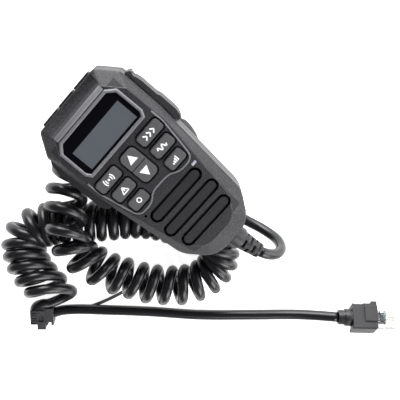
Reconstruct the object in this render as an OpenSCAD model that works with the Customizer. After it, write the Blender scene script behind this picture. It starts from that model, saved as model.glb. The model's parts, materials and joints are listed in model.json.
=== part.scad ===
/* [Body] */
// Width of the body across its upper half
body_w = 60.8; // [54:0.1:70]
// Height of the top wall above the centre
top_y = 58.4; // [54:0.1:62]
// Distance of the bottom wall below the centre
bottom_y = 58.6; // [54:0.1:62]
// Height of the face above the centre
face_z = 18; // [14:0.1:22]
// Depth of the back wall below the centre
back_z = 13; // [10:0.1:16]
// Thickness of the shell walls
wall = 2.2; // [1.6:0.1:3]

/* [Keys] */
// How far a key stands out of the face
key_rise = 1.2; // [0.6:0.1:2]
// Gap round a key in its opening
key_gap = 0.5; // [0.2:0.05:0.6]
// Width of the sunk border round a key
well_w = 0.6; // [0.3:0.1:1]
// Distance from one key row to the next
key_pitch = 9.6; // [8:0.1:12]
// Size of a key along the body's length
key_h = 6.9; // [5:0.1:8]

/* [Grille] */
// Radius of the round end of a grille slot
slot_r = 3.9; // [2.5:0.1:4]
// Distance from one grille slot to the next
slot_pitch = 10.7; // [9:0.1:12]

/* [Cord] */
// Diameter of the cord's jacket
cord_d = 6.4; // [5:0.1:7]
// Outer diameter of the curled part of the cord
coil_d = 25; // [20:0.5:28]

/* [Hidden] */
$fn = 48;
face_in = face_z - wall;
half_w = body_w / 2;
coil_z = -back_z - coil_d / 2 - 0.2;
table_z = coil_z - coil_d / 2;
lay_z = table_z + cord_d / 2;
boot_z = 1;
boot_turn = 7.5;
boot_tip = [2.3, -78, boot_z];
speaker_y = -28.1;
board_z = 6;
stud_y = 36;
ptt_pin_x = -26.6;
ptt_pin_y = 41.5;
cover_x = 32;
cover_y = 41.2;
jack_y = 14;
jack_z = 2;
plug_x = -4.1;
plug_y = -155;
plug_turn = -51;
plug_roll = -42;
plug_z = table_z + 10;

body_corners = [
  [13, -bottom_y], [24.6, -43], [half_w, 20], [half_w, 46.9], [22, top_y],
  [-22, top_y], [-half_w, 46.9], [-half_w, 20], [-24.6, -43], [-13, -bottom_y]
];
body_radii = [15, 16, 40, 3, 3, 3, 3, 40, 16, 15];
face_corners = [
  [10.6, -49.3], [18.8, -38.4], [26.7, 12], [26.4, 39.2], [18.3, 50.3],
  [-18.3, 50.3], [-26.4, 39.2], [-26.7, 12], [-18.8, -38.4], [-10.6, -49.3]
];
face_radii = [11, 13, 40, 2.4, 2.4, 2.4, 2.4, 40, 13, 11];
window_corners = [
  [20.4, 24], [21.8, 26.4], [21.6, 41.8], [17.8, 45.4],
  [-17.8, 45.4], [-21.6, 41.8], [-21.8, 26.4], [-20.4, 24]
];
key_rows = [15.1, 15.1 - key_pitch, 15.1 - 2 * key_pitch];
key_lengths = [15.8, 13.8, 11.8];
key_inner = 9;
top_keys = [-12.8, 0, 12.8];
slot_half = [15.3, 16.6, 14.3];
boss_spots = [[-23.7, 35.6], [23.7, 35.6], [-18.2, -42], [18.2, -42]];

// Raised line that borders the keypad, from one side of the window to the other.
ridge_route = [
  [-25.6, 30, face_z], [-25.9, 22, face_z], [-25.9, 14, face_z], [-24.6, 6, face_z], [-22.3, -6, face_z],
  [-20.6, -9.2, face_z], [-17.5, -10.4, face_z], [-11.5, -9.9, face_z], [-6.5, -7, face_z], [0, -6.6, face_z],
  [6.5, -7.2, face_z], [11.5, -9.9, face_z], [17.5, -10.4, face_z], [20.6, -9.2, face_z], [22.3, -6, face_z],
  [24.6, 6, face_z], [25.9, 14, face_z], [25.9, 22, face_z], [25.6, 30, face_z]
];

// Routes of the cord. The first and last point of each only aim its ends.
lead_route = [
  [1, -68.5, boot_z], boot_tip, [3.6, -83, -0.5], [5.4, -87.6, -4], [7.6, -90.4, -9],
  [9.2, -91, -15], [9.8, -88.8, -22], [8.6, -84, -28], [6.6, -77.5, -32.5],
  [4.4, -70, lay_z + 0.5], [3, -62, lay_z], [3.5, -48, lay_z], [9, -32, lay_z],
  [16, -20, lay_z], [22.5, -9, lay_z + 1], [24.5, 1, coil_z - 2], [18, 5, coil_z], [2, 5.5, coil_z]
];
hidden_route = [
  [24.5, 4, coil_z], [18, 5, coil_z], [2, 5.5, coil_z], [-12, 10, coil_z], [-22, 20, coil_z],
  [-31, 28, coil_z], [-40.5, 29, coil_z + 4], [-47.5, 25.5, coil_z + 11]
];
hump_route = [
  [-31, 28, coil_z], [-40.5, 29, coil_z + 4], [-47.5, 25.5, coil_z + 11], [-53, 20.5, coil_z + 18],
  [-59, 14.5, coil_z + 22.5], [-66, 6.5, coil_z + 21], [-71, -2, coil_z + 14], [-73.5, -11, coil_z + 7],
  [-74, -20, coil_z + 2], [-73, -28, coil_z], [-69, -37.5, coil_z]
];
front_route = [
  [-74, -20, coil_z + 2], [-73, -28, coil_z], [-69, -37.5, coil_z], [-64.5, -47.5, coil_z],
  [-59, -56, coil_z], [-52, -64.5, coil_z], [-43.5, -70.5, coil_z], [-34.5, -73.5, coil_z],
  [-25.5, -72, coil_z], [-19, -66, coil_z], [-17, -58, coil_z], [-19, -49, coil_z]
];
under_route = [
  [-19, -66, coil_z], [-17, -58, coil_z], [-19, -49, coil_z], [-23, -40, coil_z],
  [-26.5, -31.5, coil_z], [-30, -25, coil_z], [-35, -18, coil_z], [-41, -11.5, coil_z],
  [-47.5, -5.5, coil_z], [-54, 1, coil_z], [-61, 8, coil_z]
];
side_route = [
  [-47.5, -5.5, coil_z + 1], [-54, 1, coil_z + 1], [-61, 8, coil_z + 1], [-67, 15, coil_z + 1],
  [-73.5, 21, coil_z + 1], [-80, 25, coil_z + 1], [-86, 26.5, coil_z + 1], [-91.5, 25, coil_z + 1],
  [-96.5, 20.5, coil_z + 1], [-100.5, 14.5, coil_z + 1], [-103.5, 7, coil_z + 1],
  [-105.5, -2, coil_z + 1], [-107.5, -11, coil_z + 1], [-109.5, -20, coil_z + 1]
];
tail_route = [
  [-111, 3, coil_z + 7], [-116, -1, coil_z], [-120.3, -5, lay_z + 5], [-122.8, -9.5, lay_z + 3],
  [-123.2, -14.2, lay_z + 2], [-120.8, -18.4, lay_z + 1], [-116, -22.3, lay_z + 0.4],
  [-109, -29.5, lay_z], [-100.5, -40, lay_z], [-81, -64.5, lay_z],
  [-62, -90, lay_z], [-41, -114.5, lay_z], [-20.5, -137, lay_z + 1.5], [plug_x, plug_y, plug_z],
  [2, -162.8, plug_z + 3]
];
strap_route = [
  [-134, -12.5, table_z + 1.5], [-129.5, -16, table_z + 1.5], [-124.5, -19.6, table_z + 1.4],
  [-117, -25, table_z + 1.3], [-109.5, -30.2, table_z + 1.3], [-101.5, -35.2, table_z + 1.3],
  [-92.5, -39.6, table_z + 1.3], [-82, -43.6, table_z + 1.3], [-76, -45.5, table_z + 1.3]
];

function unit(v) = v / norm(v);
function side(a, b) = let (u = unit(b - a)) [u[1], -u[0]];
function meet(a, b, c, d) = let (m = side(a, b) + side(b, c)) b - m * (2 * d / (m * m));
function shrink(pts, d) = let (n = len(pts))
  [for (i = [0:n - 1]) meet(pts[(i + n - 1) % n], pts[i], pts[(i + 1) % n], d)];
function round_pts(pts, radii, steps) = let (n = len(pts)) [
  for (i = [0:n - 1])
    let (
      a = pts[(i + n - 1) % n], b = pts[i], c = pts[(i + 1) % n],
      p = side(a, b), q = side(b, c), r = radii[i],
      mid = meet(a, b, c, r), start = atan2(p[1], p[0]), turn = acos(min(1, p * q))
    )
    for (k = [0:steps]) mid + r * [cos(start + turn * k / steps), sin(start + turn * k / steps)]
];
function body_line(d) = round_pts(shrink(body_corners, d), [for (r = body_radii) max(0.8, r - d)], 4);
function face_line(d) = round_pts(shrink(face_corners, d), [for (r = face_radii) max(0.8, r - d)], 4);
function window_line(d) = round_pts(shrink(window_corners, d), [for (c = window_corners) 1], 3);
function curve(a, b, c, d, t) = 0.5 * (2 * b + (c - a) * t + (2 * a - 5 * b + 4 * c - d) * t * t
  + (3 * b - a - 3 * c + d) * t * t * t);
function smooth(p, n) = [
  for (i = [1:len(p) - 3]) for (k = [0:n - 1]) curve(p[i - 1], p[i], p[i + 1], p[i + 2], k / n),
  p[len(p) - 2]
];

// Solid between stacked outlines: each level is [outline, height].
module stack(levels) {
  n = len(levels[0][0]);
  m = len(levels);
  pts = [for (s = levels) for (p = s[0]) [p[0], p[1], s[1]]];
  walls = [for (j = [0:m - 2]) for (i = [0:n - 1])
    [j * n + i, (j + 1) * n + i, (j + 1) * n + (i + 1) % n, j * n + (i + 1) % n]];
  floor_face = [for (i = [0:n - 1]) i];
  roof_face = [for (i = [0:n - 1]) m * n - 1 - i];
  polyhedron(pts, concat([floor_face, roof_face], walls), convexity = 8);
}

// Round solid of radius r swept along a smooth route.
module sweep(route, r, steps, sides, ref) {
  q = smooth(route, steps);
  m = len(q);
  pts = [for (j = [0:m - 1])
    let (
      t = j == 0 ? unit(route[2] - route[0])
        : j == m - 1 ? unit(route[len(route) - 1] - route[len(route) - 3]) : unit(q[j + 1] - q[j - 1]),
      u = unit(cross(ref, t)),
      v = cross(t, u)
    )
    for (i = [0:sides - 1]) q[j] + r * (cos(360 * i / sides) * u + sin(360 * i / sides) * v)];
  walls = [for (j = [0:m - 2]) for (i = [0:sides - 1])
    [j * sides + i, j * sides + (i + 1) % sides, (j + 1) * sides + (i + 1) % sides, (j + 1) * sides + i]];
  first_face = [for (i = [0:sides - 1]) sides - 1 - i];
  last_face = [for (i = [0:sides - 1]) (m - 1) * sides + i];
  polyhedron(pts, concat([first_face, last_face], walls), convexity = 8);
}

module prism(pts, z0, z1) {
  translate([0, 0, z0]) linear_extrude(z1 - z0) polygon(pts);
}

module slab(x0, x1, y0, y1, z0, z1) {
  translate([x0, y0, z0]) cube([x1 - x0, y1 - y0, z1 - z0]);
}

// Flat shape with rounded corners, w wide and h high.
module pad(w, h, r, z0, z1) {
  c = [[w / 2, -h / 2], [w / 2, h / 2], [-w / 2, h / 2], [-w / 2, -h / 2]];
  prism(round_pts(c, [r, r, r, r], 4), z0, z1);
}

// Slot with round ends along X.
module stadium(half, r, z0, z1) {
  translate([-half, 0, z0]) cylinder(r = r, h = z1 - z0);
  translate([half, 0, z0]) cylinder(r = r, h = z1 - z0);
  slab(-half, half, -r, r, z0, z1);
}

module along_y(y0, y1, r) {
  translate([0, y1, 0]) rotate([90, 0, 0]) cylinder(r = r, h = y1 - y0);
}

module key_at(row, sign) {
  translate([sign * (key_inner + key_lengths[row] / 2), key_rows[row], 0]) children();
}

module top_openings(g) {
  for (x = top_keys) translate([x, 0, 0]) slab(-5.7 - g, 5.7 + g, 52, 62, 4 - g, 10.6 + g);
}

module cord_hole() {
  translate([0, 0, boot_z]) along_y(-61, -50, 4.3);
  translate([0, 0, boot_z]) along_y(-56.2, -46, 5.8);
}

module shell_sides() {
  // Room for the talk lever, the socket and the top keys
  slab(-40, -27.2, 3.2, 45.4, -4.2, 11.4);
  slab(-29, -22, 39, 45.4, -4.2, 11.4);
  translate([25, jack_y, jack_z]) rotate([0, 90, 0]) cylinder(r = 3.4, h = 12);
  top_openings(key_gap);
  cord_hole();
}

module key_wells() {
  for (row = [0:2], sign = [-1, 1]) key_at(row, sign) {
    pad(key_lengths[row] + 2 * key_gap, key_h + 2 * key_gap, 2.2, face_in - 1, face_z + 1);
    pad(key_lengths[row] + 2 * (key_gap + well_w), key_h + 2 * (key_gap + well_w), 2.8, face_z - 0.7, face_z + 1);
  }
  translate([0, 8.4, 0]) {
    pad(10.6 + 2 * key_gap, 19.4 + 2 * key_gap, 3.2, face_in - 1, face_z + 1);
    pad(10.6 + 2 * (key_gap + well_w), 19.4 + 2 * (key_gap + well_w), 3.8, face_z - 0.7, face_z + 1);
  }
}

module window_frame() {
  stack([[window_line(-1.9), face_z - 0.5], [window_line(-1.9), face_z + 0.1], [window_line(-1.2), face_z + 0.8]]);
}

module front_shell() color([0.2, 0.2, 0.22]) difference() {
  union() {
    difference() {
      stack([
        [body_line(0), 2], [body_line(0), 12.2], [body_line(0.8), 13],
        [face_line(-0.6), face_z - 0.5], [face_line(0), face_z]
      ]);
      prism(body_line(wall), 1, 11.6);
      prism(face_line(1.1), 11.5, face_in);
    }
    for (b = boss_spots) translate([b[0], b[1], 2]) cylinder(r = 2.7, h = 10.4);
    translate([-23.7, 35.6, 11]) cylinder(r = 2.7, h = face_in - 10.9);
    translate([23.7, 35.6, 11]) cylinder(r = 2.7, h = face_in - 10.9);
    window_frame();
    sweep(ridge_route, 0.55, 3, 6, [0, 0, 1]);
    translate([0, 49.2, face_z - 1]) rotate([0, 90, 0]) cylinder(r = 1.9, h = 37, center = true);
  }
  prism(window_line(0), face_z - 1.4, face_z + 1);
  stack([[window_line(0), face_z - 0.1], [window_line(0), face_z + 0.3], [window_line(-0.7), face_z + 1]]);
  prism(window_line(1.4), face_in - 1, face_z);
  key_wells();
  for (i = [0:2]) translate([0, -17.4 - i * slot_pitch, 0]) stadium(slot_half[i], slot_r, face_in - 1, face_z + 1);
  translate([19.7, -13, face_in - 1]) slab(-1.7, 1.7, -0.9, 0.9, 0, 4);
  translate([-19.5, -12.8, face_in - 1]) cylinder(r = 0.8, h = 4);
  translate([0, 59, face_z + 3.6]) rotate([0, 90, 0]) cylinder(r = 9, h = 38.6, center = true);
  for (b = boss_spots) translate([b[0], b[1], 1]) cylinder(r = 1.3, h = 10);
  translate([ptt_pin_x, ptt_pin_y, 10]) cylinder(r = 1, h = 3.2);
  shell_sides();
}

module back_shell() color([0.18, 0.18, 0.2]) difference() {
  union() {
    difference() {
      stack([
        [body_line(8), -back_z], [body_line(5.2), -back_z + 0.8],
        [body_line(1.4), -back_z + 4], [body_line(0), -back_z + 7.5], [body_line(0), 1.5]
      ]);
      prism(body_line(wall), -3, 2);
      prism(body_line(wall + 4.6), -back_z + 2.4, -2.9);
    }
    for (b = boss_spots) translate([b[0], b[1], -9]) cylinder(r = 3.6, h = 10.4);
    translate([0, stud_y, -back_z + 2]) cylinder(r = 4, h = 4.4);
  }
  for (b = boss_spots) {
    translate([b[0], b[1], -14]) cylinder(r = 2.7, h = 7);
    translate([b[0], b[1], -8]) cylinder(r = 1.6, h = 10);
  }
  translate([0, stud_y, -14]) cylinder(r = 1.6, h = 9);
  translate([ptt_pin_x, ptt_pin_y, -6.6]) cylinder(r = 1, h = 3);
  shell_sides();
}

module perimeter_gasket() color([0.08, 0.08, 0.08]) difference() {
  prism(body_line(0.5), 1.5, 2);
  prism(body_line(1.8), 1, 3);
  shell_sides();
}

module display_window() color([0.05, 0.05, 0.06, 0.6]) prism(window_line(0.08), face_z - 1.38, face_z - 0.15);

module lcd_glass() color([0.4, 0.42, 0.43]) slab(-19.4, 19.4, 25.4, 41.4, face_in - 2.2, face_in - 0.2);

module lcd_light_guide() color([0.85, 0.87, 0.85]) slab(-19, 19, 25.8, 41, face_in - 4.4, face_in - 2.3);

module lcd_holder() color([0.75, 0.75, 0.73]) difference() {
  slab(-20.8, 20.8, 24, 42.8, board_z + 1.7, face_in - 0.4);
  slab(-19.5, 19.5, 25.3, 41.5, face_in - 4.5, face_in + 1);
  slab(-16, 16, 28, 39, board_z, face_in);
}

module key_mat() color([0.25, 0.25, 0.27]) difference() {
  union() {
    slab(-24, 24, -8.4, 20.4, board_z + 1.7, board_z + 4.6);
    for (row = [0:2], sign = [-1, 1]) key_at(row, sign) cylinder(r = 2, h = board_z + 6.6);
    for (y = [2.9, 13.9]) translate([0, y, 0]) cylinder(r = 2, h = board_z + 6.6);
  }
  slab(-23, 23, -7.4, 19.4, -1, board_z + 3.6);
}

module contact_domes() color([0.8, 0.8, 0.78]) {
  for (row = [0:2], sign = [-1, 1]) key_at(row, sign) translate([0, 0, board_z + 1.62]) cylinder(r = 2.5, h = 0.5);
  for (y = [2.9, 13.9]) translate([0, y, board_z + 1.62]) cylinder(r = 2.5, h = 0.5);
}

module main_board() color([0.1, 0.3, 0.16]) difference() {
  union() {
    slab(-25, 25, -8.8, 45, board_z, board_z + 1.6);
    slab(-20, 20, 44.9, 51, board_z, board_z + 1.6);
    slab(15, 23, -16, -8.8, board_z, board_z + 1.6);
    slab(-23, -15, -16, -8.8, board_z, board_z + 1.6);
  }
  for (b = boss_spots) translate([b[0], b[1], 0]) cylinder(r = 3.5, h = 12);
  slab(-26, -21.6, 38.2, 50, 0, 12);
}

module processor_chip() color([0.06, 0.06, 0.07]) slab(-7, 7, 24, 36, board_z - 1.7, board_z - 0.05);

module chip_set() color([0.08, 0.08, 0.09]) {
  slab(-20, -15, 8, 13, board_z - 1.5, board_z - 0.05);
  slab(12, 18, 6, 10, board_z - 1.5, board_z - 0.05);
  slab(-14, -10, -4, 0, board_z - 1.3, board_z - 0.05);
  slab(8, 14, 28, 32, board_z - 1.3, board_z - 0.05);
}

module top_switches() color([0.1, 0.1, 0.1]) for (x = top_keys) translate([x, 0, 0]) {
  slab(-3, 3, 47, 51.4, board_z + 1.65, board_z + 5.2);
  translate([0, 0, board_z + 3.2]) along_y(51.3, 52.9, 1.3);
}

module top_key(i) color([0.34, 0.34, 0.36]) {
  translate([top_keys[i], 0, 0]) {
    slab(-5.7, 5.7, 54.6, top_y + 1.2, 4, 10.6);
    slab(-6.15, 6.15, 53.9, 55.2, 3.2, 11.2);
  }
}

module key_cap(row, sign) color([0.36, 0.36, 0.38]) key_at(row, sign) {
  pad(key_lengths[row], key_h, 1.8, face_in - 1.2, face_z + key_rise - 0.5);
  pad(key_lengths[row] - 0.8, key_h - 0.8, 1.5, face_z + key_rise - 0.6, face_z + key_rise);
  translate([-0.4 * sign, 0, 0]) pad(key_lengths[row] + 0.8, key_h + 1.6, 2, face_in - 2, face_in - 0.9);
}

module rocker_key() color([0.36, 0.36, 0.38]) translate([0, 8.4, 0]) difference() {
  union() {
    pad(10.6, 19.4, 2.8, face_in - 1.2, face_z + key_rise);
    pad(12.4, 20.8, 3, face_in - 2, face_in - 0.9);
  }
  slab(-8, 8, -0.3, 0.3, face_z + key_rise - 0.6, face_z + 4);
}

module grille_bars() color([0.16, 0.16, 0.17]) {
  for (i = [0:2]) translate([0, -17.4 - i * slot_pitch, 0]) {
    stadium(slot_half[i], 2.4, face_in - 1.6, face_z - 0.1);
    stadium(slot_half[i] - 3.2, slot_r - 0.1, face_in - 1.6, face_in - 0.05);
  }
}

module grille_cloth() color([0.05, 0.05, 0.05]) translate([0, speaker_y, face_in - 2.1]) cylinder(r = 17.6, h = 0.45);

module speaker_frame() color([0.45, 0.45, 0.47]) translate([0, speaker_y, 0]) difference() {
  union() {
    translate([0, 0, 11.4]) cylinder(r = 18, h = 2.2);
    translate([0, 0, 5]) cylinder(r1 = 11, r2 = 16, h = 6.5);
  }
  translate([0, 0, 6.2]) cylinder(r1 = 10.6, r2 = 15, h = 5.6);
  translate([0, 0, 11]) cylinder(r = 15, h = 4);
  translate([0, 0, 4]) cylinder(r = 4.2, h = 4);
}

module speaker_cone() color([0.12, 0.12, 0.12]) translate([0, speaker_y, 0]) difference() {
  translate([0, 0, 9.4]) cylinder(r1 = 4, r2 = 14.6, h = 3.6);
  translate([0, 0, 10.2]) cylinder(r1 = 3.8, r2 = 14.4, h = 3.6);
}

module speaker_magnet() color([0.3, 0.3, 0.31]) translate([0, speaker_y, 0]) {
  translate([0, 0, -0.4]) cylinder(r = 9, h = 5.3);
  translate([0, 0, 4.8]) cylinder(r = 3.6, h = 3.6);
}

module mic_capsule() color([0.7, 0.7, 0.7]) translate([-19.5, -12.8, board_z + 2.3]) cylinder(r = 3, h = 2.5);

module mic_holder() color([0.1, 0.1, 0.1]) translate([-19.5, -12.8, board_z + 1.65]) difference() {
  union() {
    cylinder(r = 3.6, h = 3.7);
    cylinder(r = 1.7, h = face_in - board_z - 1.75);
  }
  translate([0, 0, 0.6]) cylinder(r = 3.05, h = 2.6);
  translate([0, 0, 3]) cylinder(r = 0.8, h = 10);
}

module status_led() color([0.9, 0.9, 0.86]) translate([19.7, -13, 0]) {
  slab(-1.5, 1.5, -0.7, 0.7, face_in - 2.1, face_z + 0.15);
  slab(-1.5, 1.5, -1.2, 1.2, board_z + 1.65, face_in - 2);
}

module case_screws() color([0.6, 0.6, 0.62]) for (b = boss_spots) translate([b[0], b[1], 0]) {
  difference() {
    translate([0, 0, -9.9]) cylinder(r = 2.5, h = 1.85);
    translate([0, 0, -10.2]) slab(-1.6, 1.6, -0.3, 0.3, 0, 1);
    translate([0, 0, -10.2]) slab(-0.3, 0.3, -1.6, 1.6, 0, 1);
  }
  translate([0, 0, -8.1]) cylinder(r = 1.25, h = 17);
}

module hanger_button() color([0.72, 0.72, 0.74]) translate([0, stud_y, 0]) difference() {
  union() {
    translate([0, 0, -back_z - 4.05]) cylinder(r = 4.4, h = 4);
    translate([0, 0, -back_z - 6]) cylinder(r = 7.9, h = 2);
    translate([0, 0, -back_z - 6.4]) cylinder(r1 = 7.4, r2 = 7.9, h = 0.45);
  }
  translate([0, 0, -back_z - 7]) cylinder(r = 1.6, h = 9);
  translate([0, 0, -back_z - 7]) cylinder(r = 3.1, h = 2.6);
}

module hanger_screw() color([0.6, 0.6, 0.62]) translate([0, stud_y, 0]) difference() {
  union() {
    translate([0, 0, -back_z - 6.2]) cylinder(r = 2.9, h = 1.8);
    translate([0, 0, -back_z - 4.5]) cylinder(r = 1.5, h = 12.4);
  }
  translate([0, 0, -back_z - 7]) slab(-2, 2, -0.35, 0.35, 0, 1.5);
  translate([0, 0, -back_z - 7]) slab(-0.35, 0.35, -2, 2, 0, 1.5);
}

module talk_lever() color([0.2, 0.2, 0.22]) difference() {
  union() {
    prism([[-33, 6], [-33.9, 9], [-33.9, 36], [-32.6, 42.6], [-31, 44.4], [-29.8, 44.4],
      [-29.8, 4], [-31.6, 4]], -3.6, 10.8);
    translate([ptt_pin_x, ptt_pin_y, -3.6]) cylinder(r = 1.9, h = 14.4);
    slab(-30.6, -27, 40.2, 42.8, -3.6, 10.8);
    slab(-30.6, -28, 12, 18, 0, 4);
  }
  translate([ptt_pin_x, ptt_pin_y, -8]) cylinder(r = 1.05, h = 20);
}

module lever_pin() color([0.7, 0.7, 0.72]) translate([ptt_pin_x, ptt_pin_y, -6.5]) cylinder(r = 0.99, h = 19.6);

module talk_switch() color([0.1, 0.1, 0.1]) {
  slab(-25, -20, 11.6, 18.4, board_z - 5.6, board_z - 0.05);
  slab(-25.9, -24.8, 13.8, 16.2, 1, 3);
}

module jack_socket() color([0.15, 0.15, 0.16]) translate([0, jack_y, jack_z]) difference() {
  union() {
    slab(15, 26.8, -3.4, 3.4, -3.4, board_z - jack_z - 0.05);
    translate([26.4, 0, 0]) rotate([0, 90, 0]) cylinder(r = 3.2, h = 2.4);
  }
  translate([16.5, 0, 0]) rotate([0, 90, 0]) cylinder(r = 1.8, h = 14);
}

module jack_cover() color([0.14, 0.14, 0.15]) {
  prism([[half_w + 0.35, 20], [half_w + 0.35, 39.4], [33, 39.4], [33.6, 36], [33.6, 24.5], [34.2, 23],
    [34.2, 13], [33.6, 9.5], [32.4, 7], [half_w - 0.4, 7]], -3.6, 9.6);
  translate([cover_x, cover_y, -3.6]) cylinder(r = 0.9, h = 13.2);
  slab(cover_x - 0.7, cover_x + 0.7, 39.2, cover_y, -3.6, 9.6);
  translate([29.4, jack_y, jack_z]) rotate([0, 90, 0]) cylinder(r = 1.6, h = 2.6);
}

module cover_anchor() color([0.14, 0.14, 0.15]) difference() {
  prism([[half_w + 0.1, 39.8], [half_w + 0.1, 44.4], [31.6, 44.4], [33.2, 43.4],
    [33.6, 42], [32.8, 39.8]], -3.6, 9.6);
  translate([cover_x, cover_y, -7]) cylinder(r = 0.96, h = 20);
  slab(cover_x - 1.1, 40, 36, cover_y, -7, 11);
  slab(cover_x, 40, 36, 42.1, -7, 11);
}

module cord_boot() color([0.12, 0.12, 0.13]) {
  translate([0, 0, boot_z]) along_y(-60, -52, 4.2);
  translate([0, 0, boot_z]) along_y(-55.9, -52, 5.6);
  translate([0, 0, boot_z]) along_y(-61, -58.7, 6.6);
  translate([0, -60, boot_z]) rotate([0, 0, boot_turn]) difference() {
    union() {
      along_y(-5, 0, 6.5);
      translate([0, -4.9, 0]) rotate([90, 0, 0]) cylinder(r1 = 5.6, r2 = 4.3, h = 13.25);
    }
    for (i = [0:3], a = [0:90:270]) translate([0, -7.3 - 3 * i, 0]) rotate([0, a + 45 * (i % 2), 0])
      slab(-2.4, 2.4, -0.7, 0.7, 3.6, 8);
  }
}

module wire_header() color([0.88, 0.86, 0.8]) slab(-6, 6, -8, -2, board_z - 5, board_z - 0.05);

module wire_harness() color([0.6, 0.2, 0.15]) for (i = [-2:2]) translate([1.8 * i, 0, 0]) {
  slab(-0.5, 0.5, -5, -4, -6.9, board_z - 5.1);
  slab(-0.5, 0.5, -46, -4, -7.9, -6.9);
  slab(-0.5, 0.5, -46, -45, -7.9, -2);
}

module cord_clamp() color([0.5, 0.5, 0.52]) difference() {
  slab(-7, 7, -50.2, -46.6, -10.5, 6);
  translate([0, 0, boot_z]) along_y(-52, -46, 3.3);
}

module cord_stub() color([0.07, 0.07, 0.07]) translate([0, 0, boot_z]) along_y(-51.9, -46.1, 3.2);

module cord_lead() color([0.07, 0.07, 0.07]) sweep(lead_route, cord_d / 2, 3, 10, [1, 0, 0]);

module coil_hidden() color([0.09, 0.09, 0.1]) sweep(hidden_route, coil_d / 2, 2, 12, [0, 0, 1]);

module coil_hump() color([0.09, 0.09, 0.1]) sweep(hump_route, coil_d / 2, 2, 12, [0, 0, 1]);

module coil_front() color([0.09, 0.09, 0.1]) sweep(front_route, coil_d / 2, 2, 12, [0, 0, 1]);

module coil_under() color([0.09, 0.09, 0.1]) sweep(under_route, coil_d / 2, 2, 12, [0, 0, 1]);

module coil_side() color([0.09, 0.09, 0.1]) sweep(side_route, coil_d / 2 + 1, 2, 12, [0, 0, 1]);

module cord_tail() color([0.07, 0.07, 0.07]) sweep(tail_route, cord_d / 2, 3, 10, [0, 0, 1]);

module at_plug() {
  translate([plug_x, plug_y, plug_z]) rotate([0, 0, plug_turn]) rotate([plug_roll, 0, 0]) children();
}

module at_tie() {
  translate([-125.5, -14.6, table_z]) rotate([0, 0, -49]) children();
}

module tie_band() color([0.3, 0.3, 0.31]) at_tie() difference() {
  slab(1.6, 6.6, -5.4, 5.6, 0.4, 9.4);
  translate([0, 1.3, lay_z - table_z + 1.4]) rotate([0, 90, 0]) cylinder(r = 3.5, h = 20);
  slab(3, 5.2, -8, -3.4, -1, 20);
}

module tie_head() color([0.3, 0.3, 0.31]) at_tie() difference() {
  union() {
    slab(-7.6, 1.5, -4.6, 4.6, 0.4, 10.2);
    slab(-3.6, 1.5, -8.4, 8, 0.4, 9.4);
  }
  slab(-3, 0.6, -3, 1.4, 9.2, 11);
  translate([-6, 1.3, lay_z - table_z + 2]) rotate([0, 90, 0]) cylinder(r = 3.3, h = 20);
  translate([-3, 12, lay_z - table_z + 3]) rotate([90, 0, 0]) cylinder(r = 3.3, h = 11);
  for (i = [0:4]) slab(-9, -3.7, -4 + 1.7 * i, -3.3 + 1.7 * i, 9.6, 11);
}

module tie_strap() color([0.3, 0.3, 0.31]) sweep(strap_route, 1.1, 2, 6, [0, 0, 1]);

module plug_rings() color([0.12, 0.12, 0.13]) at_plug() rotate([0, 90, 0]) {
  cylinder(r = 4.6, h = 4.2);
  translate([0, 0, 4.2]) cylinder(r = 5.4, h = 4.3);
}

module plug_hood() color([0.3, 0.3, 0.31]) at_plug() difference() {
  union() {
    slab(8.55, 24, -7.8, 8, -5.4, 5.2);
    slab(7.9, 23.2, -8.4, -6.2, -5.4, 4.6);
    slab(16, 24, -3.6, 6.4, 5.1, 6.3);
    slab(20.6, 24, 7.9, 9.6, -4, 5.2);
  }
  slab(20, 25, -6, 6, -3.7, 3.7);
  slab(9.6, 15, 6.4, 9, 3.6, 6);
}

module plug_body() color([0.85, 0.9, 0.92, 0.5]) at_plug() difference() {
  slab(20.1, 37, -5.85, 5.85, -3.5, 3.3);
  for (i = [-3.5:1:3.5]) translate([0, 1.02 * i, 0]) slab(30.6, 38, -0.22, 0.22, -4, -1.2);
  slab(24.5, 29.5, -4.6, 4.6, -1.6, 1.4);
}

module plug_latch() color([0.85, 0.9, 0.92, 0.5]) at_plug() {
  translate([35, 0, 4]) rotate([90, 0, 0]) cylinder(r = 0.5, h = 6, center = true);
  translate([35, 0, 4]) rotate([0, 14, 0]) slab(-10.4, 0, -2.9, 2.9, -0.45, 0.45);
}

module plug_contacts() color([0.9, 0.75, 0.35]) at_plug()
  for (i = [-3.5:1:3.5]) translate([0, 1.02 * i, 0]) slab(30.8, 36.4, -0.2, 0.2, -3.4, -1.3);

front_shell();
back_shell();
perimeter_gasket();
display_window();
lcd_glass();
lcd_light_guide();
lcd_holder();
key_mat();
contact_domes();
main_board();
processor_chip();
chip_set();
top_switches();
top_key(0);  // top_key_1
top_key(1);  // top_key_2
top_key(2);  // top_key_3
key_cap(0, -1);  // key_left_1
key_cap(1, -1);  // key_left_2
key_cap(2, -1);  // key_left_3
key_cap(0, 1);  // key_right_1
key_cap(1, 1);  // key_right_2
key_cap(2, 1);  // key_right_3
rocker_key();
grille_bars();
grille_cloth();
speaker_frame();
speaker_cone();
speaker_magnet();
mic_capsule();
mic_holder();
status_led();
case_screws();
hanger_button();
hanger_screw();
talk_lever();
lever_pin();
talk_switch();
jack_socket();
jack_cover();
cover_anchor();
cord_boot();
wire_header();
wire_harness();
cord_clamp();
cord_stub();
cord_lead();
coil_hidden();
coil_hump();
coil_front();
coil_under();
coil_side();
cord_tail();
tie_band();
tie_head();
tie_strap();
plug_rings();
plug_hood();
plug_body();
plug_latch();
plug_contacts();
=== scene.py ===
import json
import math

import bpy
from mathutils import Matrix, Vector


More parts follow.
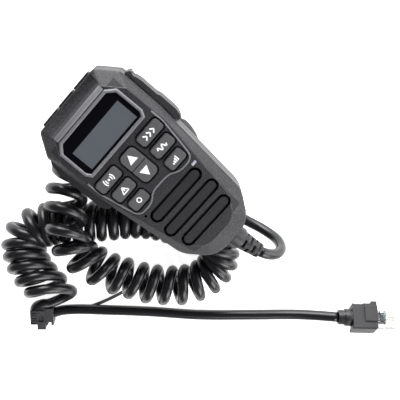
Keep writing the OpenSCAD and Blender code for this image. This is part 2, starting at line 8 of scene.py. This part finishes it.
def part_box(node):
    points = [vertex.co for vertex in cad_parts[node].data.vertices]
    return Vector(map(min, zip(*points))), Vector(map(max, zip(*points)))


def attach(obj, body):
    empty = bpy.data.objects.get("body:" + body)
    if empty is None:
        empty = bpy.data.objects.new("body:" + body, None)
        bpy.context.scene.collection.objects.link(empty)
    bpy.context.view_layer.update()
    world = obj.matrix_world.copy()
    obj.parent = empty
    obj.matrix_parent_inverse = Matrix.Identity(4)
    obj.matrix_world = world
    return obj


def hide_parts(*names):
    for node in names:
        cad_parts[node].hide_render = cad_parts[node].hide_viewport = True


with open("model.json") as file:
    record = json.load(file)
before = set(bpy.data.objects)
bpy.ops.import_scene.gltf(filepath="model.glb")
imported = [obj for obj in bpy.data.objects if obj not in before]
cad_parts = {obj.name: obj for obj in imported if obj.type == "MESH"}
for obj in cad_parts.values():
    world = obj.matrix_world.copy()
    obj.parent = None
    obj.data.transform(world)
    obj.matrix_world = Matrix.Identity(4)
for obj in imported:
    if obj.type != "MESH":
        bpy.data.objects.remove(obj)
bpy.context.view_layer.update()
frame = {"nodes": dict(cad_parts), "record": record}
nodes = frame["nodes"]
scene = bpy.context.scene
MM = 0.001


# ---------------------------------------------------------------- camera

def place_camera():
    cam = bpy.data.cameras.new("camera")
    cam.lens = 67.95
    cam.sensor_width = 36
    cam.clip_start = 0.01
    obj = bpy.data.objects.new("camera", cam)
    scene.collection.objects.link(obj)
    back = Vector((0.2, 0.2, 0.959)).normalized()
    right = Vector((0.659, -0.752, 0.0193))
    right = (right - right.dot(back) * back).normalized()
    up = back.cross(right)
    m = Matrix((right, up, back)).transposed().to_4x4()
    m.translation = Vector((0.0874, 0.0521, 0.406))
    obj.matrix_world = m
    scene.camera = obj
    return back, right, up


cam_back, cam_right, cam_up = place_camera()
scene.view_settings.view_transform = "Standard"


# ---------------------------------------------------------------- shading

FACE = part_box("status_led")[1][2] - 0.15 * MM


def add(tree, kind, **sockets):
    node = tree.nodes.new(kind)
    for key, value in sockets.items():
        node.inputs[key.replace("_", " ")].default_value = value
    return node


def math_node(tree, operation, a, b=0.0):
    node = tree.nodes.new("ShaderNodeMath")
    node.operation = operation
    for socket, value in zip(node.inputs, (a, b)):
        if isinstance(value, (int, float)):
            socket.default_value = value
        else:
            tree.links.new(value, socket)
    return node.outputs[0]


def blend_color(tree, factor, low, high):
    """Colour between low and high, each a tuple or another node's output."""
    mix = tree.nodes.new("ShaderNodeMix")
    mix.data_type = "RGBA"
    tree.links.new(factor, mix.inputs["Factor"])
    for key, value in (("A", low), ("B", high)):
        socket = [i for i in mix.inputs if i.name == key and i.type == "RGBA"][0]
        if isinstance(value, tuple):
            socket.default_value = (*value[:3], 1)
        else:
            tree.links.new(value, socket)
    return [o for o in mix.outputs if o.type == "RGBA"][0]


def shader(name, color, rough, metallic=0.0, specular=0.5, coat=0.0, coat_rough=0.1, grain=0.0,
           grain_size=0.4, mottle=0.0, speckle=0.0, transmission=0.0, ior=1.5, zones=()):
    """Principled surface with a fine grain in its height, a cloudy tone and a speckle.
    Each zone is (function, colour, roughness): the function gives its share at a place."""
    mat = bpy.data.materials.new(name)
    mat.use_nodes = True
    tree = mat.node_tree
    bsdf = tree.nodes["Principled BSDF"]
    bsdf.inputs["Metallic"].default_value = metallic
    bsdf.inputs["Specular IOR Level"].default_value = specular
    bsdf.inputs["Coat Weight"].default_value = coat
    bsdf.inputs["Coat Roughness"].default_value = coat_rough
    bsdf.inputs["Transmission Weight"].default_value = transmission
    bsdf.inputs["IOR"].default_value = ior
    coord = tree.nodes.new("ShaderNodeTexCoord").outputs["Object"]
    fine = add(tree, "ShaderNodeTexNoise", Scale=1.0 / (grain_size * MM), Detail=3.0)
    cloud = add(tree, "ShaderNodeTexNoise", Scale=90.0)
    tree.links.new(coord, fine.inputs["Vector"])
    tree.links.new(coord, cloud.inputs["Vector"])
    low = tuple(c * (1 - mottle) for c in color)
    high = tuple(min(1, c * (1 + mottle)) for c in color)
    tone = blend_color(tree, cloud.outputs["Fac"], low, high)
    if speckle:
        dots = add(tree, "ShaderNodeMapRange", From_Min=0.5, From_Max=0.72, To_Min=0.0, To_Max=1.0)
        tree.links.new(fine.outputs["Fac"], dots.inputs["Value"])
        light = tuple(min(1, c + speckle) for c in color)
        tone = blend_color(tree, dots.outputs["Result"], tone, light)
    spread = add(tree, "ShaderNodeMapRange", To_Min=max(0.02, rough - 0.04), To_Max=rough + 0.04)
    tree.links.new(cloud.outputs["Fac"], spread.inputs["Value"])
    roughness = spread.outputs["Result"]
    for zone, zone_color, zone_rough in zones:
        place = tree.nodes.new("ShaderNodeSeparateXYZ")
        tree.links.new(coord, place.inputs[0])
        share = zone(tree, *place.outputs)
        tone = blend_color(tree, share, tone, zone_color)
        change = math_node(tree, "MULTIPLY", share, zone_rough - rough)
        roughness = math_node(tree, "ADD", roughness, change)
    tree.links.new(tone, bsdf.inputs["Base Color"])
    tree.links.new(roughness, bsdf.inputs["Roughness"])
    if grain:
        bump = add(tree, "ShaderNodeBump", Strength=grain, Distance=0.0002)
        tree.links.new(fine.outputs["Fac"], bump.inputs["Height"])
        tree.links.new(bump.outputs["Normal"], bsdf.inputs["Normal"])
    return mat


def all_of(tree, terms):
    out = terms[0]
    for term in terms[1:]:
        out = math_node(tree, "MULTIPLY", out, term)
    return out


def between(tree, value, low, high):
    return math_node(tree, "MULTIPLY", math_node(tree, "GREATER_THAN", value, low),
                     math_node(tree, "LESS_THAN", value, high))


def painted_shade_in_wells(tree, x, y, z):
    """1 inside the key wells and the grille slots, which hold no light: their colour is darkened there as
    painted shade.
    """
    side = math_node(tree, "ABSOLUTE", x)
    edge = math_node(tree, "ADD", math_node(tree, "MULTIPLY", y, 0.134), 0.0248)
    return all_of(tree, [
        between(tree, z, FACE - 0.004, FACE - 0.0003),
        math_node(tree, "LESS_THAN", side, edge),
        math_node(tree, "LESS_THAN", side, 0.0261),
        between(tree, y, -0.047, 0.0475)])


def painted_highlight_on_ridges(tree, x, y, z):
    """1 on the borders that stand up from the face: a painted highlight in a lighter colour, with a lower
    roughness that makes them glossier.
    """
    return math_node(tree, "GREATER_THAN", z, FACE + 0.00012)


def display_area(tree, x, y, z):
    """1 where the liquid crystal shows through the lens."""
    return all_of(tree, [between(tree, x, -0.0182, 0.0188), between(tree, y, 0.0254, 0.0385)])


MATERIALS = {
    "shell": shader("shell", (0.013, 0.013, 0.016), 0.48, specular=0.4, grain=0.8, grain_size=0.6,
                    mottle=0.15, speckle=0.05,
                    # painted shade: near-black colour inside the key wells and grille slots
                    zones=[(painted_shade_in_wells, (0.002, 0.002, 0.002), 0.6),
                           # painted highlight: lighter colour on the raised borders
                           (painted_highlight_on_ridges, (0.16, 0.16, 0.17), 0.35)]),
    "back_plastic": shader("back_plastic", (0.008, 0.008, 0.01), 0.5, grain=0.7, grain_size=0.45,
                           mottle=0.15, speckle=0.03),
    "bar_plastic": shader("bar_plastic", (0.01, 0.01, 0.012), 0.42, grain=0.3, mottle=0.15,
                          speckle=0.01),
    "lever_rubber": shader("lever_rubber", (0.009, 0.009, 0.011), 0.55, grain=0.5, mottle=0.1,
                           speckle=0.02),
    "cover_rubber": shader("cover_rubber", (0.009, 0.009, 0.011), 0.55, grain=0.5, mottle=0.1,
                           speckle=0.02),
    "window_lens": shader("window_lens", (0.002, 0.002, 0.003), 0.12, specular=0.12,
                          zones=[(display_area, (0.085, 0.095, 0.108), 0.3)]),
    "lcd": shader("lcd", (0.13, 0.15, 0.16), 0.35, mottle=0.04),
    "light_guide": shader("light_guide", (0.7, 0.73, 0.72), 0.3, mottle=0.03),
    "holder_plastic": shader("holder_plastic", (0.6, 0.6, 0.57), 0.45, mottle=0.03),
    "key_plastic": shader("key_plastic", (0.075, 0.075, 0.08), 0.5, grain=0.35, mottle=0.1,
                          speckle=0.01),
    "top_key_plastic": shader("top_key_plastic", (0.016, 0.016, 0.018), 0.5, grain=0.4, mottle=0.1,
                              speckle=0.02),
    "mat_rubber": shader("mat_rubber", (0.05, 0.05, 0.055), 0.6, mottle=0.05),
    "dome_steel": shader("dome_steel", (0.7, 0.7, 0.68), 0.25, metallic=1.0, mottle=0.03),
    "board": shader("board", (0.02, 0.12, 0.05), 0.4, mottle=0.2),
    "chip_plastic": shader("chip_plastic", (0.02, 0.02, 0.022), 0.5, grain=0.3, mottle=0.1),
    "cloth": shader("cloth", (0.008, 0.008, 0.008), 0.9, grain=0.8, grain_size=0.3, mottle=0.2),
    "speaker_steel": shader("speaker_steel", (0.4, 0.4, 0.42), 0.35, metallic=1.0, mottle=0.05),
    "cone_paper": shader("cone_paper", (0.03, 0.03, 0.03), 0.8, grain=0.5, mottle=0.1),
    "capsule_alu": shader("capsule_alu", (0.7, 0.7, 0.7), 0.3, metallic=1.0, mottle=0.03),
    "led_plastic": shader("led_plastic", (0.42, 0.4, 0.5), 0.35, mottle=0.08),
    "screw_steel": shader("screw_steel", (0.5, 0.5, 0.52), 0.3, metallic=1.0, mottle=0.05),
    "socket_plastic": shader("socket_plastic", (0.03, 0.03, 0.032), 0.45, mottle=0.1),
    "boot_rubber": shader("boot_rubber", (0.01, 0.01, 0.012), 0.42, grain=0.3, mottle=0.1,
                          speckle=0.01),
    "wire_pvc": shader("wire_pvc", (0.5, 0.05, 0.04), 0.35, mottle=0.05),
    "cord_jacket": shader("cord_jacket", (0.006, 0.006, 0.008), 0.3, grain=0.1, grain_size=1.0,
                          mottle=0.2),
    "coil_jacket": shader("coil_jacket", (0.006, 0.006, 0.008), 0.3, mottle=0.2),
    "tie_plastic": shader("tie_plastic", (0.04, 0.04, 0.043), 0.5, grain=1.0, grain_size=1.2,
                          mottle=0.3, speckle=0.05),
    "hood_plastic": shader("hood_plastic", (0.022, 0.022, 0.025), 0.5, specular=0.4, grain=0.5,
                           mottle=0.1, speckle=0.02),
    "clear_plastic": shader("clear_plastic", (0.8, 0.83, 0.85), 0.08, transmission=1.0, ior=1.42,
                            mottle=0.03),
    "contact_gold": shader("contact_gold", (0.85, 0.62, 0.25), 0.25, metallic=1.0, mottle=0.05),
}
PRINT = shader("white_print", (0.95, 0.95, 0.95), 0.5, mottle=0.03)
for part in frame["record"]["subparts"]:
    mesh = nodes[part["node"]].data
    mesh.materials.clear()
    mesh.materials.append(MATERIALS[part["material_slot"]])


def soften(name, width, segments=2):
    """Rounds a CAD node's sharp edges in its looks only."""
    obj = nodes[name]
    weld = obj.modifiers.new("weld", "WELD")
    weld.merge_threshold = 0.001 * MM
    edge = obj.modifiers.new("edge", "BEVEL")
    edge.width = width * MM
    edge.segments = segments
    edge.limit_method = "ANGLE"
    edge.angle_limit = math.radians(35)
    edge.harden_normals = True


KEYS = ["key_left_1", "key_left_2", "key_left_3", "key_right_1", "key_right_2", "key_right_3"]
for name in KEYS + ["rocker_key"]:
    soften(name, 0.35, 3)
soften("grille_bars", 0.8, 3)
for name in ("top_key_1", "top_key_2", "top_key_3", "talk_lever", "jack_cover", "tie_head"):
    soften(name, 0.4)
for name in ("front_shell", "back_shell"):
    soften(name, 0.18)
for name in ("plug_hood", "plug_rings", "cord_boot"):
    soften(name, 0.4)


# ---------------------------------------------------------------- printed marks

def stroke(points, width):
    """Quads along a line of points."""
    out = []
    for (x0, y0), (x1, y1) in zip(points, points[1:]):
        d = math.hypot(x1 - x0, y1 - y0)
        nx, ny = -(y1 - y0) / d * width / 2, (x1 - x0) / d * width / 2
        out.append([(x0 - nx, y0 - ny), (x1 - nx, y1 - ny),
                    (x1 + nx, y1 + ny), (x0 + nx, y0 + ny)])
    return out


def arc_points(cx, cy, r, start, stop, steps=10):
    turn = [math.radians(start + (stop - start) * k / steps) for k in range(steps + 1)]
    return [(cx + r * math.cos(a), cy + r * math.sin(a)) for a in turn]


PRINT_SCALE = 1.15


def printed(name, shapes, node, center=None):
    """White print, 0.03 mm proud of a key's top; shapes are measured from the key's middle."""
    low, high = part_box(node)
    cx, cy = center or ((low[0] + high[0]) / 2, (low[1] + high[1]) / 2)
    verts, faces = [], []
    for shape in shapes:
        n, first = len(shape), len(verts)
        for z in (high[2] - 0.05 * MM, high[2] + 0.03 * MM):
            verts += [(cx + PRINT_SCALE * x * MM, cy + PRINT_SCALE * y * MM, z) for x, y in shape]
        faces.append(tuple(range(first + n - 1, first - 1, -1)))
        faces.append(tuple(range(first + n, first + 2 * n)))
        faces += [(first + k, first + (k + 1) % n, first + n + (k + 1) % n, first + n + k)
                  for k in range(n)]
    mesh = bpy.data.meshes.new(name)
    mesh.from_pydata(verts, [], faces)
    mesh.materials.append(PRINT)
    obj = bpy.data.objects.new(name, mesh)
    scene.collection.objects.link(obj)
    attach(obj, node)


def chevrons():
    return [q for x in (-3.2, -0.8, 1.6) for q in stroke([(x, -1.3), (x + 1.5, 0), (x, 1.3)], 0.7)]


def wave():
    points = [(-2.6 + 0.26 * k, 1.1 * math.sin(2 * math.pi * k / 10)) for k in range(21)]
    return stroke(points, 0.7)


def rising_bars():
    bars = ((-1.9, -0.4), (-0.9, 0.2), (0.1, 0.8), (1.1, 1.4))
    return [[(x, -1.3), (x + 0.7, -1.3), (x + 0.7, y), (x, y)] for x, y in bars]


def signal():
    out = [arc_points(0, 0, 0.6, 0, 360, 12)[:-1]]
    for r in (1.6, 2.7):
        out += stroke(arc_points(0, 0, r, -38, 38), 0.6)
        out += stroke(arc_points(0, 0, r, 142, 218), 0.6)
    return out


def alert():
    rim = [(-1.9, -1.35), (1.9, -1.35), (0, 1.6), (-1.9, -1.35)]
    return stroke(rim, 0.55) + [[(-0.3, -0.55), (0.3, -0.55), (0.3, 0.55), (-0.3, 0.55)]]


def ring():
    return stroke(arc_points(0, 0, 1.1, 0, 360, 16), 0.6)


for node, mark in zip(KEYS, (signal(), alert(), ring(), chevrons(), wave(), rising_bars())):
    printed("print_" + node, mark, node)
rocker_low, rocker_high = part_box("rocker_key")
rocker_x = (rocker_low[0] + rocker_high[0]) / 2
rocker_y = (rocker_low[1] + rocker_high[1]) / 2
rocker_half = 5.2 * MM
printed("print_up", [[(-2.5, -2), (2.5, -2), (0, 2.3)]], "rocker_key", (rocker_x, rocker_y + rocker_half))
printed("print_down", [[(0, -2.3), (2.5, 2), (-2.5, 2)]], "rocker_key", (rocker_x, rocker_y - rocker_half))


# ---------------------------------------------------------------- cord

BACK = -0.013
COIL_R = 0.0125
CORD_R = 0.0032
COIL_Z = BACK - COIL_R - 0.0002
TABLE = COIL_Z - COIL_R
LAY = TABLE + CORD_R
PLUG = Vector((-0.0041, -0.155, TABLE + 0.010))


def mm(points):
    return [Vector((x * MM, y * MM, z * MM)) for x, y, z in points]


lay, coil = LAY / MM, COIL_Z / MM
LEAD = mm([
    (1, -68.5, 1), (2.3, -78, 1), (3.6, -83, -0.5), (5.4, -87.6, -4), (7.6, -90.4, -9),
    (9.2, -91, -15), (9.8, -88.8, -22), (8.6, -84, -28), (6.6, -77.5, -32.5),
    (4.4, -70, lay + 0.5), (3, -62, lay), (3.5, -48, lay), (9, -32, lay), (16, -20, lay),
    (22.5, -9, lay + 1), (24.5, 1, coil - 2)])
TAIL = mm([
    (-116.4, -12.8, lay + 2.4), (-119.6, -9.2, lay + 3.8), (-123.4, -7.6, lay + 3.8),
    (-126.6, -9, lay + 2.8), (-127.6, -12.4, lay + 1.8), (-125.2, -16, lay + 0.8),
    (-121, -18.8, lay + 0.4), (-116, -22.3, lay), (-109, -29.5, lay), (-100.5, -40, lay),
    (-81, -64.5, lay), (-62, -90, lay), (-41, -114.5, lay),
    (-20.5, -137, lay + 1.5)]) + [PLUG, Vector((0.002, -0.1628, PLUG.z + 0.003))]

# The curled run: x, y, height above the coil's usual axis, distance between turns, outer
# radius, then how far the turns lean back and how far they are turned sideways, in degrees
CURLED = [
    (18, 5, 0, 34, 12.5, 0, 0), (2, 5.5, 0, 14, 12.5, 0, 0), (-12, 10, 0, 8.5, 12.5, 0, 0),
    (-22, 20, 0, 8.5, 12.5, 0, 0), (-31, 28, 0, 8.5, 12.5, 10, 0), (-40.5, 29, 4, 9, 12.5, 20, -10),
    (-47.5, 25.5, 11, 11, 12.5, 28, 0), (-53, 20.5, 18, 12.5, 12.5, 30, 5),
    (-59, 14.5, 22.5, 13, 12.5, 30, 5), (-66, 6.5, 21, 13.5, 12.5, 28, 5),
    (-71, -2, 14, 14.5, 12.5, 20, 0), (-73.5, -11, 7, 14.5, 12.5, 10, -5),
    (-74, -20, 2, 12.5, 12.5, 5, -5), (-73, -28, 0, 11, 12.5, 0, 0),
    (-69, -37.5, 0, 10, 12.5, 0, 0), (-64.5, -47.5, 0, 9.9, 12.5, 0, 0),
    (-59, -56, 0, 9.9, 12.5, 0, 0), (-52, -64.5, 0, 9.9, 12.5, 0, 0),
    (-43.5, -70.5, 0, 9.2, 12.5, 0, 0), (-34.5, -73.5, 0, 8.2, 12.5, 0, 8),
    (-25.5, -72, 0, 6.4, 12.5, 0, 22), (-19, -66, 0, 5.4, 12.5, 0, 36),
    (-17, -58, 0, 5.4, 12.5, 0, 38), (-19, -49, 0, 6.4, 12.5, 0, 15),
    (-23, -40, 0, 7.2, 12.5, 0, 0), (-26.5, -31.5, 0, 7, 12.5, 0, 0), (-30, -25, 0, 7, 12.5, 0, 0),
    (-35, -18, 0, 7, 12.5, 0, 0), (-41, -11.5, 0, 7, 12.5, 0, 0), (-47.5, -5.5, 0, 7, 12.5, 0, 0),
    (-54, 1, 0, 7, 12.5, 0, 0), (-61, 8, 0.5, 7, 13, 0, 0), (-67, 15, 1, 7, 13.5, 5, 0),
    (-73.5, 21, 1, 7, 13.5, 12, 0), (-80, 25, 1, 7, 13.5, 18, -8), (-86, 26.5, 1, 7, 13.5, 25, -15),
    (-91.5, 25, 1, 6.8, 13.5, 30, -12), (-96.5, 20.5, 1, 7, 13.5, 33, 0),
    (-100.5, 14.5, 1, 7.6, 13.5, 33, 8), (-103.5, 7, 1, 8.6, 13.5, 33, 14),
    (-105.5, -2, 1, 9.6, 13.5, 32, 19), (-107.5, -11, 1, 10, 13.5, 30, 22)]
TURN_STEPS = 26         # points in a turn
STRAIGHT_STEP = 0.0022  # distance between points where the cord is straight
GROWTH = 0.022          # length over which the first turn opens to its full radius
HAND = -1               # the coil is left-handed


def spline(p, n):
    """Catmull-Rom curve through all but the first and last points."""
    out = []
    for i in range(1, len(p) - 2):
        a, b, c, d = p[i - 1:i + 3]
        for k in range(n):
            t = k / n
            out.append(0.5 * (2 * b + (c - a) * t + (2 * a - 5 * b + 4 * c - d) * t * t
                              + (3 * b - a - 3 * c + d) * t * t * t))
    return out + [p[-2].copy()]


def arc(line):
    s = [0.0]
    for a, b in zip(line, line[1:]):
        s.append(s[-1] + (b - a).length)
    return s


def frames(line):
    """Tangent and two normals carried along the line without twist."""
    out = []
    n = len(line)
    normal = None
    for i in range(n):
        t = (line[min(n - 1, i + 1)] - line[max(0, i - 1)]).normalized()
        if normal is None:
            normal = t.orthogonal().normalized()
        normal = (normal - normal.dot(t) * t).normalized()
        out.append((t, normal, t.cross(normal)))
    return out


def cord_line():
    """One line from the boot to the plug: straight, wound about the curled run, then straight.
    Every turn stands upright before its lean, and the last one ends at the bottom, by the tie."""
    curled = [Vector((x * MM, y * MM, COIL_Z + z * MM)) for x, y, z, *rest in CURLED]
    per = 12
    core = spline(LEAD + curled + [curled[-1] + Vector((-0.002, -0.009, 0))], per)
    s = arc(core)
    fr = frames(core)
    first = len(LEAD) - 1
    start = s[per * first]
    places = []
    x = 0.0
    j = 0
    turned = 0.0
    while x < s[-1]:
        while s[j + 1] < x:
            j += 1
        f = (x - s[j]) / (s[j + 1] - s[j])
        k = min(len(CURLED) - 2, int((j + f) / per - first))
        places.append((j, f, x, k, turned))
        if x > start:
            share = (j + f) / per - first - k
            x += (CURLED[k][3] * (1 - share) + CURLED[k + 1][3] * share) * MM / TURN_STEPS
            turned += 2 * math.pi / TURN_STEPS
        else:
            x += STRAIGHT_STEP
    line = []
    for j, f, x, k, phase in places:
        p = core[j].lerp(core[j + 1], f)
        t = fr[j][0].lerp(fr[j + 1][0], f).normalized()
        if x > start:
            share = (j + f) / per - first - k
            outer, lean, swing = (a * (1 - share) + b * share
                                  for a, b in zip(CURLED[k][4:], CURLED[k + 1][4:]))
            grow = min(1, (x - start) / GROWTH)
            grow = grow * grow * (3 - 2 * grow)
            right = t.cross(Vector((0, 0, 1))).normalized()
            along = Vector((0, 0, 1)).cross(right)
            turn = math.pi + phase - turned
            r = (outer * MM - CORD_R) * grow
            out = r * (math.cos(turn) * Vector((0, 0, 1)) + HAND * math.sin(turn) * right)
            p = p + out - math.tan(math.radians(lean)) * out.z * along
            p = p - math.tan(math.radians(swing)) * out.dot(right) * along
        line.append(p)
    tail = spline([line[-4], line[-1]] + TAIL, 8)
    return line + tail[3:]


def tube(name, line, radius, sides, mat):
    fr = frames(line)
    verts = []
    for p, (t, u, v) in zip(line, fr):
        for k in range(sides):
            a = 2 * math.pi * k / sides
            verts.append(p + radius * (math.cos(a) * u + math.sin(a) * v))
    faces = []
    for i in range(len(line) - 1):
        for k in range(sides):
            k2 = (k + 1) % sides
            faces.append((i * sides + k, i * sides + k2,
                          (i + 1) * sides + k2, (i + 1) * sides + k))
    faces.append(tuple(range(sides - 1, -1, -1)))
    last = (len(line) - 1) * sides
    faces.append(tuple(range(last, last + sides)))
    mesh = bpy.data.meshes.new(name)
    mesh.from_pydata(verts, [], faces)
    mesh.materials.append(mat)
    for poly in mesh.polygons:
        poly.use_smooth = True
    mesh.update()
    obj = bpy.data.objects.new(name, mesh)
    scene.collection.objects.link(obj)
    return obj


line = cord_line()
cord = tube("cord", line, CORD_R, 14, MATERIALS["cord_jacket"])
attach(cord, "case")
for n in ("cord_lead", "coil_hidden", "coil_hump", "coil_front", "coil_under", "coil_side",
          "cord_tail"):
    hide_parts(n)


PLUG_TURN = -51   # the plug's turn about the vertical, in degrees
PLUG_ROLL = -42   # and about its own length
WIRE_R = 0.42 * MM
WIRE_PITCH = 1.02
# Places along a wire: distance from the contacts, share of the spread, height
WIRE_ROUTE = ((-16, 0.5, 2.4), (-12.6, 0.6, 2.4), (-9, 1.1, 2.0), (-6, 0.85, 1.4),
              (-3.2, 1, 1.0), (0, 1, 0.9))


def plug_wires():
    """Eight insulated wires that fan out inside the clear plug, up to its contacts."""
    low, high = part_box("plug_contacts")
    tip = Vector([(a + b) / 2 for a, b in zip(low, high)])
    turn = Matrix.Rotation(math.radians(PLUG_TURN), 3, "Z")
    roll = Matrix.Rotation(math.radians(PLUG_ROLL), 3, "X")
    ahead = turn @ Vector((1, 0, 0))
    across = turn @ roll @ Vector((0, 1, 0))
    rise = ahead.cross(across)
    for k in range(8):
        spot = (k - 3.5) * WIRE_PITCH * MM
        points = [tip + x * MM * ahead + share * spot * across + z * MM * rise
                  for x, share, z in WIRE_ROUTE]
        slot = "coil_jacket" if k % 2 else "hood_plastic"
        wire = tube("plug_wire_%d" % (k + 1), spline(points, 4), WIRE_R, 8, MATERIALS[slot])
        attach(wire, "case")


plug_wires()


# ---------------------------------------------------------------- floor and light

def floor():
    mesh = bpy.data.meshes.new("floor")
    r = 9.0
    corners = [(-r, -r, TABLE), (r, -r, TABLE), (r, r, TABLE), (-r, r, TABLE)]
    mesh.from_pydata(corners, [], [(0, 1, 2, 3)])
    mat = shader("floor_paper", (0.93, 0.93, 0.93), 0.9, mottle=0.01)
    bsdf = mat.node_tree.nodes["Principled BSDF"]
    bsdf.inputs["Emission Color"].default_value = (1, 1, 1, 1)
    bsdf.inputs["Emission Strength"].default_value = 0.9
    mesh.materials.append(mat)
    obj = bpy.data.objects.new("floor", mesh)
    scene.collection.objects.link(obj)


def studio_world():
    """Dim room, darkest overhead, so that the level faces stay dark and the lamps light the slopes."""
    world = bpy.data.worlds.new("studio")
    scene.world = world
    world.use_nodes = True
    tree = world.node_tree
    coord = tree.nodes.new("ShaderNodeTexCoord")
    split = tree.nodes.new("ShaderNodeSeparateXYZ")
    tree.links.new(coord.outputs["Generated"], split.inputs[0])
    level = add(tree, "ShaderNodeMapRange", From_Min=0.25, From_Max=0.95, To_Min=0.28, To_Max=0.16)
    tree.links.new(split.outputs[2], level.inputs["Value"])
    tree.links.new(level.outputs["Result"], tree.nodes["Background"].inputs["Strength"])
    tree.nodes["Background"].inputs["Color"].default_value = (1, 1, 1, 1)


def area_light(name, place, aim, size, power, size_y=None):
    light = bpy.data.lights.new(name, "AREA")
    light.shape = "RECTANGLE"
    light.size = size
    light.size_y = size_y or size
    light.energy = power
    obj = bpy.data.objects.new(name, light)
    scene.collection.objects.link(obj)
    obj.location = place
    obj.rotation_euler = (Vector(aim) - Vector(place)).to_track_quat("-Z", "Y").to_euler()
    return obj


floor()
studio_world()
mid = Vector((-0.03, -0.04, 0))
area_light("top_box", mid + 1.0 * cam_up + 0.45 * cam_back, mid, 1.0, 32)
area_light("right_box", mid + 0.9 * cam_right + 0.35 * cam_back, mid, 0.8, 8)
area_light("low_box", mid - 1.0 * cam_up + 0.6 * cam_right + 0.5 * cam_back, mid, 0.9, 15)
